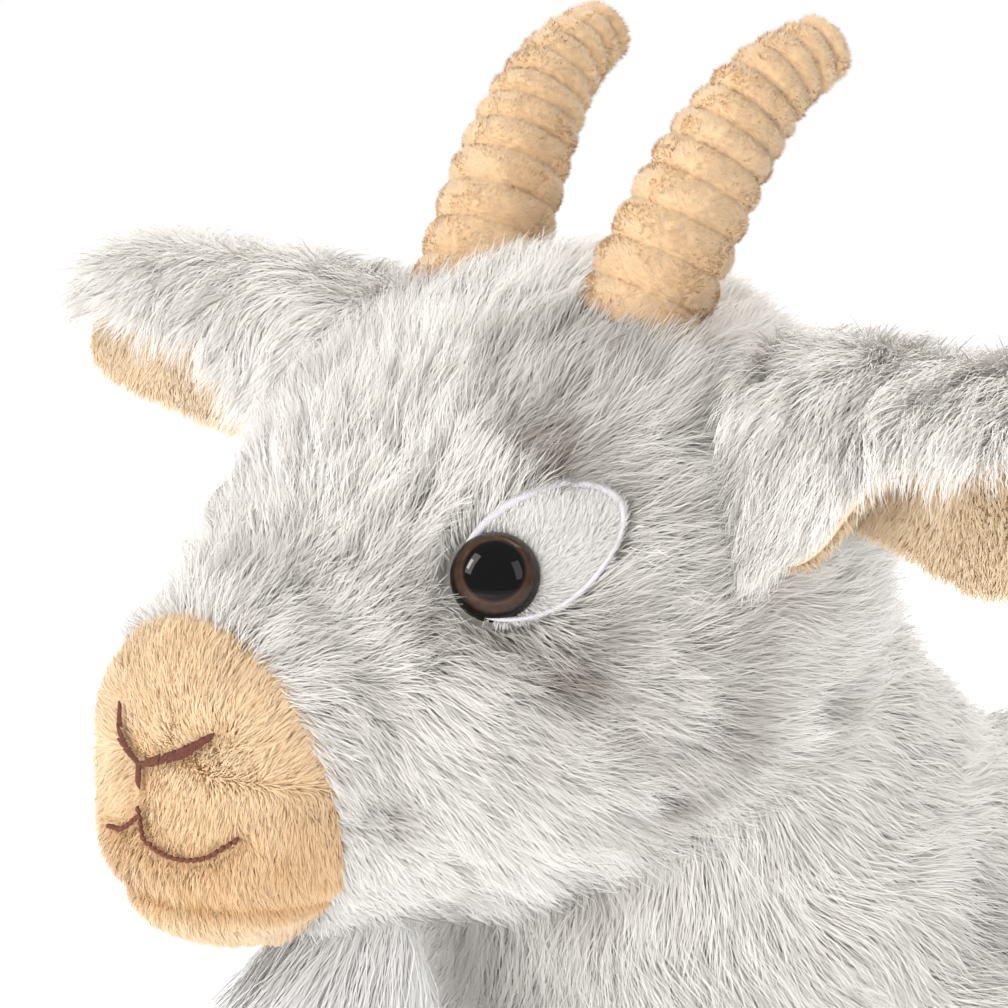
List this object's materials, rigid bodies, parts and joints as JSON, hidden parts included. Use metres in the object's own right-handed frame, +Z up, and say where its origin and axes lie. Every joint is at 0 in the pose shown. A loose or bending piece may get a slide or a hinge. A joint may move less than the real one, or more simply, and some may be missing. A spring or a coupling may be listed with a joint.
{
  "type": "plush goat toy",
  "caption": "Standing stuffed goat in frosted white faux fur with a beige muzzle, ribbed curved horns, lined drooping ears, glossy safety eyes, beard and short tail.",
  "frame": {"origin": "centre of the footprint box, on the floor under the soles", "axes": "+Z up, the goat faces -Y, its left side is +X"},
  "size_m": [0.2382, 0.2747, 0.3033],
  "materials": {
    "frosted_fur": "long white faux fur with grey-brown roots",
    "beige_plush": "short napped beige plush",
    "ribbed_plush": "ribbed beige chenille plush",
    "white_pile": "short white pile",
    "long_pile": "long loose white fibres",
    "filling": "loose polyester fibre filling",
    "brown_thread": "brown embroidery thread",
    "white_thread": "pale satin-stitch thread",
    "black_plastic": "black plastic with a brown iris",
    "clear_dome": "clear polished plastic",
    "nylon": "white nylon",
    "satin": "woven satin ribbon"
  },
  "bodies": {
    "trunk": {"body_side_panel_left": "frosted_fur", "body_side_panel_right": "frosted_fur", "belly_gusset": "frosted_fur", "body_filling": "filling", "care_label": "satin", "front_leg_cover_left": "frosted_fur", "front_leg_cover_right": "frosted_fur", "front_leg_filling_left": "filling", "front_leg_filling_right": "filling", "front_leg_hoof_left": "beige_plush", "front_leg_hoof_right": "beige_plush", "front_leg_sole_left": "beige_plush", "front_leg_sole_right": "beige_plush", "hind_leg_cover_left": "frosted_fur", "hind_leg_cover_right": "frosted_fur", "hind_leg_filling_left": "filling", "hind_leg_filling_right": "filling", "hind_leg_hoof_left": "beige_plush", "hind_leg_hoof_right": "beige_plush", "hind_leg_sole_left": "beige_plush", "hind_leg_sole_right": "beige_plush"},
    "neck": {"neck_filling": "filling"},
    "head": {"head_side_panel_left": "frosted_fur", "head_side_panel_right": "frosted_fur", "forehead_gusset": "frosted_fur", "throat_gusset": "frosted_fur", "muzzle_panel": "beige_plush", "chin_panel": "beige_plush", "nose_stitching": "brown_thread", "mouth_stitching": "brown_thread", "eye_patch_left": "white_pile", "eye_patch_right": "white_pile", "eye_patch_stitching_left": "white_thread", "eye_patch_stitching_right": "white_thread", "eye_dome_left": "clear_dome", "eye_dome_right": "clear_dome", "eye_back_left": "black_plastic", "eye_back_right": "black_plastic", "eye_washer_left": "nylon", "eye_washer_right": "nylon", "head_filling": "filling", "horn_cover_left": "ribbed_plush", "horn_cover_right": "ribbed_plush", "horn_filling_left": "filling", "horn_filling_right": "filling"},
    "ear_left": {"ear_outer_left": "frosted_fur", "ear_lining_left": "beige_plush"},
    "ear_right": {"ear_outer_right": "frosted_fur", "ear_lining_right": "beige_plush"},
    "beard": {"beard": "long_pile"},
    "tail": {"tail_upper": "frosted_fur", "tail_underside": "frosted_fur"}
  },
  "joints": [
    {"name": "neck_turn", "type": "hinge", "parent": "trunk", "child": "neck", "pos_m": [0, -0.042, 0.199], "axis": [0, 0, 1], "range_deg": [-12, 12], "stiffness_Nm_per_rad": 0.8},
    {"name": "neck_nod", "type": "hinge", "parent": "neck", "child": "head", "pos_m": [0, -0.042, 0.199], "axis": [1, 0, 0], "range_deg": [-8, 8], "stiffness_Nm_per_rad": 1.2, "springref_deg": -1.15},
    {"name": "ear_left_flap", "type": "hinge", "parent": "head", "child": "ear_left", "pos_m": [0.04212, -0.059, 0.259], "axis": [0, -1, 0], "range_deg": [-8, 35], "stiffness_Nm_per_rad": 0.08, "springref_deg": 1.72},
    {"name": "ear_right_flap", "type": "hinge", "parent": "head", "child": "ear_right", "pos_m": [-0.04212, -0.059, 0.259], "axis": [0, 1, 0], "range_deg": [-8, 35], "stiffness_Nm_per_rad": 0.08, "springref_deg": 1.72},
    {"name": "beard_swing", "type": "hinge", "parent": "head", "child": "beard", "pos_m": [0, -0.101, 0.172], "axis": [1, 0, 0], "range_deg": [-15, 15]},
    {"name": "tail_wag", "type": "hinge", "parent": "trunk", "child": "tail", "pos_m": [0, 0.11757, 0.159], "axis": [1, 0, 0], "range_deg": [-20, 45], "stiffness_Nm_per_rad": 0.05, "springref_deg": 0.57}
  ]
}
